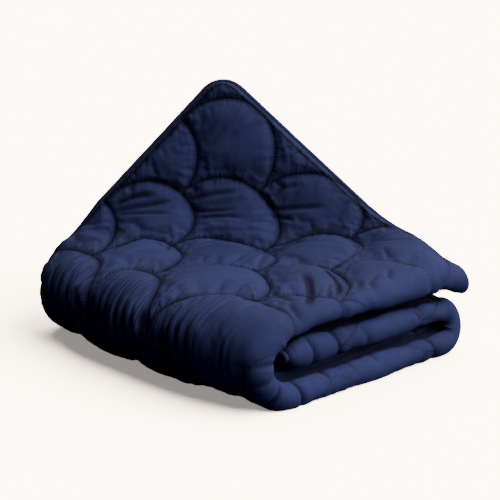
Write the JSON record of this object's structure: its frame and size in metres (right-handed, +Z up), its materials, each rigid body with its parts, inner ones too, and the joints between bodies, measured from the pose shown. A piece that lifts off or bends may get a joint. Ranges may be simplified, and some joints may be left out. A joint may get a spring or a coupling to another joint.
{
  "type": "folded quilted duvet",
  "caption": "Quilted duvet with staggered scale stitching and a bound edge, folded into a thick square pile with one corner of the top layer raised.",
  "frame": {"origin": "bottom centre of the folded pile, on the surface it rests on", "axes": "+Z up; +X from the big roll to the free short edge; +Y from the folded long side to the open long edges"},
  "size_m": [0.5464, 0.6238, 0.4503],
  "materials": {
    "quilted_cotton": "plain woven cotton in navy blue, soft and matt with a slight sheen, puckered along the sewn scales",
    "binding": "narrow cotton binding in the same navy blue, matt, stitched along the edge"
  },
  "bodies": {
    "root": {"duvet_body": "quilted_cotton", "edge_binding": "binding"}
  },
  "joints": []
}
